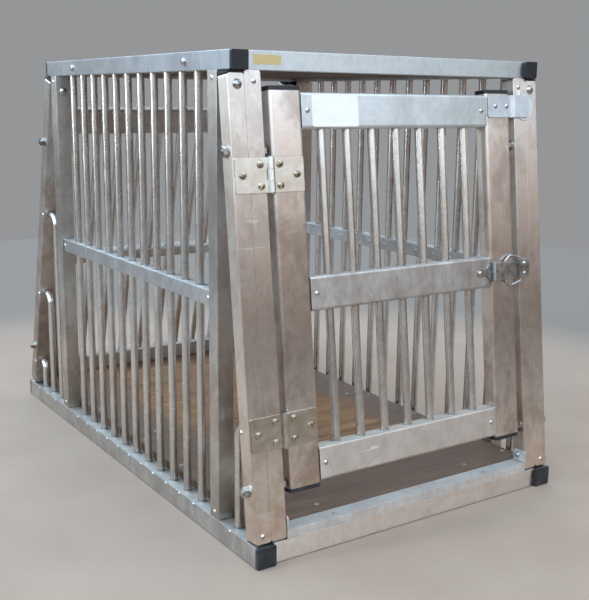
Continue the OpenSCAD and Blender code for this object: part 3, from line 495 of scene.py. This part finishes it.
white = label("blank_white_label", (0.90, 0.84, 0.80), 0.0, 0.30)
gold = label("blank_gold_label", (0.80, 0.66, 0.34), 0.7, 0.34)
cream = label("old_glue", (0.80, 0.77, 0.70), 0.0, 0.45)

UPRIGHT = Matrix.Identity(4)
LEANING = Matrix.Rotation(-FRONT, 4, "X")
up_slope = Vector((0, math.sin(FRONT), math.cos(FRONT)))
off_slope = Vector((0, -math.cos(FRONT), math.sin(FRONT)))

# Middle of the front face of the door's top rail, from its box and the tube's depth
RAIL_DEPTH = 0.025
rail_low, rail_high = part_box("door_rail_top")
face_y = (rail_low.y + rail_high.y) / 2 - RAIL_DEPTH / 2 * math.cos(FRONT)
face_z = (rail_low.z + rail_high.z) / 2 + RAIL_DEPTH / 2 * math.sin(FRONT)

LABEL_X = -0.114
film("door_label", (0.078, 0.0440, 0.00025), 0.004,
     Vector((LABEL_X, face_y, face_z)) + off_slope * FILM_LIFT,
     LEANING, white, "door")

GLUE_BELOW_TOP = 0.0235
GLUE_OFF_MIDDLE = 0.001
post_low, post_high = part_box("door_post_right")
glue_x = (post_low.x + post_high.x) / 2 - GLUE_OFF_MIDDLE
glue_rise = (post_high.z - GLUE_BELOW_TOP - face_z) / math.cos(FRONT)
film("glue_mark", (0.0062, 0.0105, 0.0003), 0.0028,
     Vector((glue_x, face_y, face_z)) + up_slope * glue_rise + off_slope * FILM_LIFT,
     LEANING, cream, "frame")

PLATE_X = -0.2205
PLATE_ABOVE_MIDDLE = 0.001
roof_low, roof_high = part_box("top_rail_front")
plate_z = (roof_low.z + roof_high.z) / 2 + PLATE_ABOVE_MIDDLE
film("frame_label", (0.043, 0.0125, 0.0002), 0.001,
     Vector((PLATE_X, roof_low.y - FILM_LIFT, plate_z)),
     UPRIGHT, gold, "frame")

# ---------------------------------------------------------------- studio floor

FLOOR_RADIUS = 2.7
FLOOR_DROP = 0.0004  # keeps the floor just under the base

floor_mesh = bpy.data.meshes.new("studio_floor")
bm = bmesh.new()
bmesh.ops.create_circle(bm, cap_ends=True, segments=256, radius=FLOOR_RADIUS)
bm.to_mesh(floor_mesh)
bm.free()
floor = bpy.data.objects.new("studio_floor", floor_mesh)
floor.location = (0, 0, -FLOOR_DROP)
bpy.context.scene.collection.objects.link(floor)
stone = Shader("studio_floor")
speck = stone.noise(stone.mapping((5, 5, 5)), 6.0, 0.6)
pale = stone.ramp(speck, [(0.3, (0.285, 0.206, 0.156)), (0.7, (0.325, 0.24, 0.187))])
radius = stone.add("ShaderNodeVectorMath", operation="LENGTH")
stone.link(stone.place, radius.inputs[0])
# Painted shade: the floor is darker beyond about a metre from the middle, leaving a painted pool
# of light under the cage
painted_shade_far = stone.mask(stone.math("DIVIDE", radius.outputs["Value"], FLOOR_RADIUS), 0.34, 0.46)
stone.link(stone.mix(painted_shade_far, pale, (0.185, 0.15, 0.125)), stone.bsdf.inputs["Base Color"])
stone.shine(0.0, 0.75, 0.12)
floor.data.materials.append(stone.mat)

# ---------------------------------------------------------------- what the metal reflects

# A soft room, bright and cool above and to the left, dim and brown at eye level, darker to
# the right. The camera itself sees a plain grey wall.
BY_RISE = ((-1.0, (0.05, 0.036, 0.027)), (-0.12, (0.040, 0.027, 0.019)),
           (0.0, (0.024, 0.015, 0.010)), (0.08, (0.23, 0.165, 0.115)),
           (0.19, (0.36, 0.335, 0.315)), (0.36, (0.60, 0.74, 0.90)),
           (0.70, (0.68, 0.85, 1.0)), (1.0, (0.28, 0.33, 0.39)))
BY_SIDE = ((-1.0, (0.78, 0.92, 1.0)), (-0.40, (0.52, 0.64, 0.73)),
           (0.40, (0.64, 0.63, 0.62)), (0.62, (0.50, 0.485, 0.475)),
           (0.80, (0.24, 0.225, 0.21)), (1.0, (0.18, 0.165, 0.15)))
BY_CLOUD = ((-0.28, (0.56, 0.55, 0.54)), (0.26, WHITE))
WALL_GREY = (0.30, 0.305, 0.315, 1)
ROOM_STRENGTH = 5.8

world = bpy.data.worlds.new("studio")
bpy.context.scene.world = world
world.use_nodes = True
tree = world.node_tree
tree.nodes.clear()


def world_node(kind, **inputs):
    node = tree.nodes.new(kind)
    for key, value in inputs.items():
        node.inputs[key].default_value = value
    return node


def sweep(stops):
    """A colour ramp over a value from -1 to 1: its input and its colour."""
    spread = world_node("ShaderNodeMapRange", **{"From Min": -1.0})
    ramp = world_node("ShaderNodeValToRGB")
    elements = ramp.color_ramp.elements
    while len(elements) < len(stops):
        elements.new(0.5)
    for element, (at, colour) in zip(elements, stops):
        element.position = (at + 1) / 2
        element.color = (*colour, 1)
    tree.links.new(spread.outputs[0], ramp.inputs["Fac"])
    return spread.inputs["Value"], ramp.outputs["Color"]


def product(a, b):
    node = tree.nodes.new("ShaderNodeMix")
    node.data_type = "RGBA"
    node.blend_type = "MULTIPLY"
    node.clamp_result = False
    node.inputs[0].default_value = 1.0
    tree.links.new(a, node.inputs[6])
    tree.links.new(b, node.inputs[7])
    return node.outputs[2]


coord = world_node("ShaderNodeTexCoord")
axes = world_node("ShaderNodeSeparateXYZ")
rise_in, rise = sweep(BY_RISE)
side_in, side = sweep(BY_SIDE)
cloud_in, cloud = sweep(BY_CLOUD)
patch = world_node("ShaderNodeTexNoise", Scale=2.3, Detail=3.0, Roughness=0.55, Distortion=0.6)
spread = world_node("ShaderNodeMapRange", **{"To Min": -1.0})
wall = world_node("ShaderNodeBackground", Color=WALL_GREY)
light = world_node("ShaderNodeBackground", Strength=ROOM_STRENGTH)
path = world_node("ShaderNodeLightPath")
blend = world_node("ShaderNodeMixShader")
final = world_node("ShaderNodeOutputWorld")
for source, target in (
        (coord.outputs["Generated"], axes.inputs[0]),
        (coord.outputs["Generated"], patch.inputs["Vector"]),
        (axes.outputs["Z"], rise_in),
        (axes.outputs["X"], side_in),
        (patch.outputs["Fac"], spread.inputs["Value"]),
        (spread.outputs[0], cloud_in),
        (product(product(rise, side), cloud), light.inputs["Color"]),
        (path.outputs["Is Camera Ray"], blend.inputs["Fac"]),
        (light.outputs[0], blend.inputs[1]),
        (wall.outputs[0], blend.inputs[2]),
        (blend.outputs[0], final.inputs["Surface"])):
    tree.links.new(source, target)

# ---------------------------------------------------------------- lights

MIDDLE = (0, 0, 0.35)


def softbox(name, place, target, size, watts, colour):
    data = bpy.data.lights.new(name, "AREA")
    data.shape = "RECTANGLE"
    data.size, data.size_y = size
    data.energy = watts
    data.color = colour
    obj = bpy.data.objects.new(name, data)
    obj.location = place
    aim = Vector(target) - Vector(place)
    obj.rotation_euler = aim.to_track_quat("-Z", "Y").to_euler()
    bpy.context.scene.collection.objects.link(obj)


softbox("window_left", (-2.7, 0.2, 1.5), MIDDLE, (0.30, 2.2), 40, (0.86, 0.95, 1.0))
softbox("ceiling", (0.1, -0.3, 2.9), (0, 0, 0), (2.2, 2.2), 14, (1.0, 0.98, 0.95))
softbox("front_fill", (-0.4, -3.0, 2.0), MIDDLE, (1.0, 1.0), 14, (0.96, 0.98, 1.0))

# ---------------------------------------------------------------- camera, fitted to the photo

YAW, PITCH, ROLL = (math.radians(v) for v in (33.715, -11.911, 0.654))
EYE = (-0.894, -1.462, 0.6184)
LENS_MM = 57.07
SENSOR_MM = 36

ahead = Vector((math.sin(YAW) * math.cos(PITCH), math.cos(YAW) * math.cos(PITCH),
                math.sin(PITCH)))
level_right = Vector((math.cos(YAW), -math.sin(YAW), 0))
level_up = level_right.cross(ahead)
right = level_right * math.cos(ROLL) + level_up * math.sin(ROLL)
up = level_up * math.cos(ROLL) - level_right * math.sin(ROLL)
camera_data = bpy.data.cameras.new("camera")
camera_data.sensor_fit = "VERTICAL"
camera_data.sensor_height = SENSOR_MM
camera_data.lens = LENS_MM
camera = bpy.data.objects.new("camera", camera_data)
rows = [(right[i], up[i], -ahead[i], EYE[i]) for i in range(3)]
camera.matrix_world = Matrix((*rows, (0, 0, 0, 1)))
bpy.context.scene.collection.objects.link(camera)
bpy.context.scene.camera = camera
bpy.context.scene.view_settings.view_transform = "Standard"
